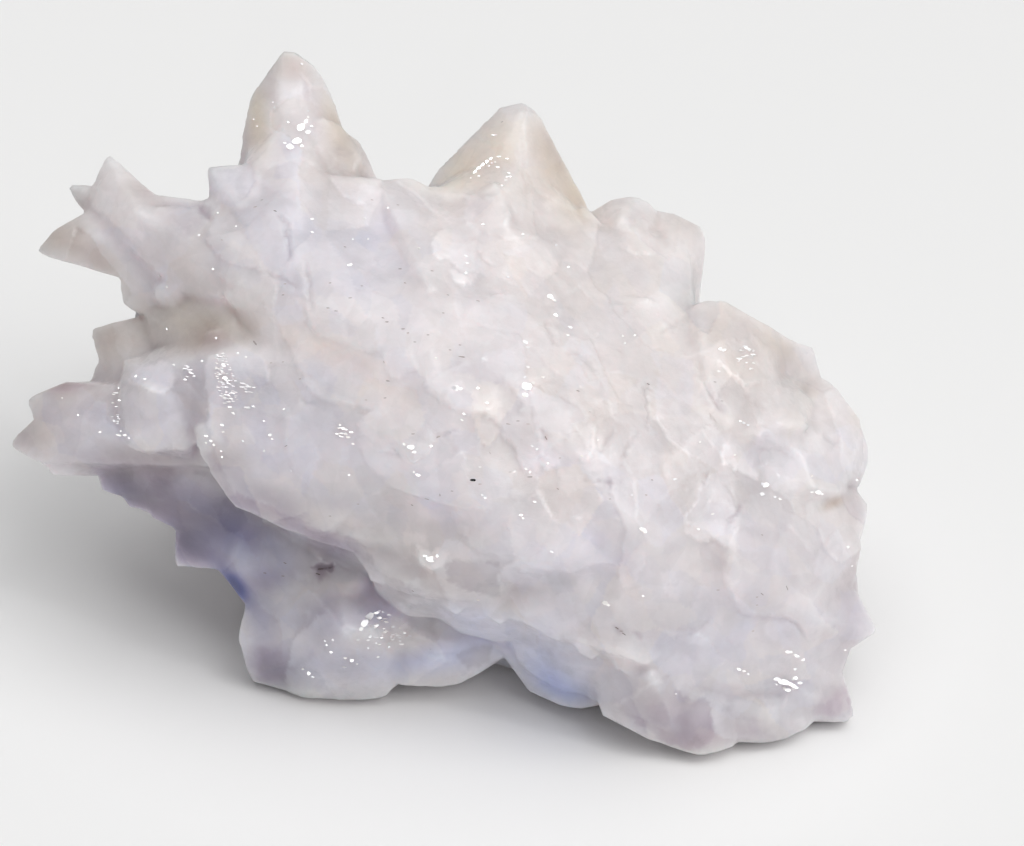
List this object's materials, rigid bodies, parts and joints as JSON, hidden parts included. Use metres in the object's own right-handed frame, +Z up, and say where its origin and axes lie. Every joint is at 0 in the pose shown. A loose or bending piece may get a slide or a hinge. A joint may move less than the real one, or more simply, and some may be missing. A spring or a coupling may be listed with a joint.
{
  "type": "cave calcite cluster",
  "caption": "Natural cluster of milky translucent calcite crystals: overlapping rhomb plates with dogtooth points round the rim, lying on a flat broken base.",
  "frame": {"origin": "under the middle of the cluster's box, on the plane of the flat cut base", "axes": "+Z up from the base; +X along the cluster's longest side, to the viewer's right; -Y toward the viewer"},
  "size_m": [0.1398, 0.095, 0.0843],
  "materials": {
    "calcite": "milky white translucent calcite, waxy to glassy faces, greyer and clearer at the points"
  },
  "bodies": {
    "root": {"calcite_cluster": "calcite"}
  },
  "joints": []
}
